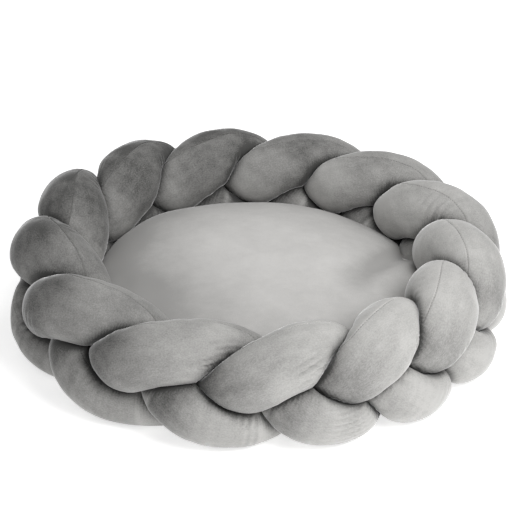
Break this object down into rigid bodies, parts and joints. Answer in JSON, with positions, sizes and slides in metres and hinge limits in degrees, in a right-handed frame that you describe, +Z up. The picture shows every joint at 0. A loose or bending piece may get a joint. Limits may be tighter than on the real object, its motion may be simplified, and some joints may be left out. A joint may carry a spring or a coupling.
{
  "type": "pet cushion bed",
  "caption": "Round pet bed: a ring plaited from stuffed velvet strands on a base cloth, with a domed lift-out cushion that has a hidden zip.",
  "frame": {"origin": "on the floor under the middle of the ring, on the base cloth's underside", "axes": "+Z up out of the bed, +X to the right, -Y to the front"},
  "size_m": [0.6983, 0.6905, 0.172],
  "materials": {
    "strand_velvet": "short-pile velvet, mid grey",
    "cushion_velvet": "short-pile velvet, light grey",
    "cushion_lining": "plain woven lining",
    "polyester_fibre": "loose white fibre",
    "base_cloth": "woven, non-slip",
    "sewing_thread": "twisted thread",
    "zip_tape": "woven tape",
    "zip_coil": "nylon coil",
    "zip_metal": "grey enamelled zinc"
  },
  "bodies": {
    "ring": {"strand_1_velvet_tube": "strand_velvet", "strand_2_velvet_tube": "strand_velvet", "strand_3_velvet_tube": "strand_velvet", "strand_1_fibre_filling": "polyester_fibre", "strand_2_fibre_filling": "polyester_fibre", "strand_3_fibre_filling": "polyester_fibre", "strand_join_1_stitching": "sewing_thread", "strand_join_2_stitching": "sewing_thread", "strand_join_3_stitching": "sewing_thread", "base_cloth": "base_cloth"},
    "cushion": {"cushion_top_panel": "cushion_velvet", "cushion_bottom_panel": "cushion_lining", "cushion_fibre_filling": "polyester_fibre", "zip_upper_tape": "zip_tape", "zip_lower_tape": "zip_tape", "zip_upper_coil": "zip_coil", "zip_lower_coil": "zip_coil", "zip_top_stop": "zip_metal", "zip_bottom_stop": "zip_metal"},
    "slider": {"zip_slider": "zip_metal"},
    "pull": {"zip_pull": "zip_metal"}
  },
  "joints": [
    {"name": "cushion_lift", "type": "slide", "parent": "ring", "child": "cushion", "axis": [0, 0, 1], "range_m": [0, 0.25]},
    {"name": "zip_slide", "type": "hinge", "parent": "cushion", "child": "slider", "pos_m": [0, 0, 0.03], "axis": [0, 0, 1], "range_deg": [0, 100]},
    {"name": "pull_swing", "type": "hinge", "parent": "slider", "child": "pull", "pos_m": [0.16454, 0.13558, 0.03], "axis": [0.6359, -0.7718, 0], "range_deg": [0, 60]}
  ]
}
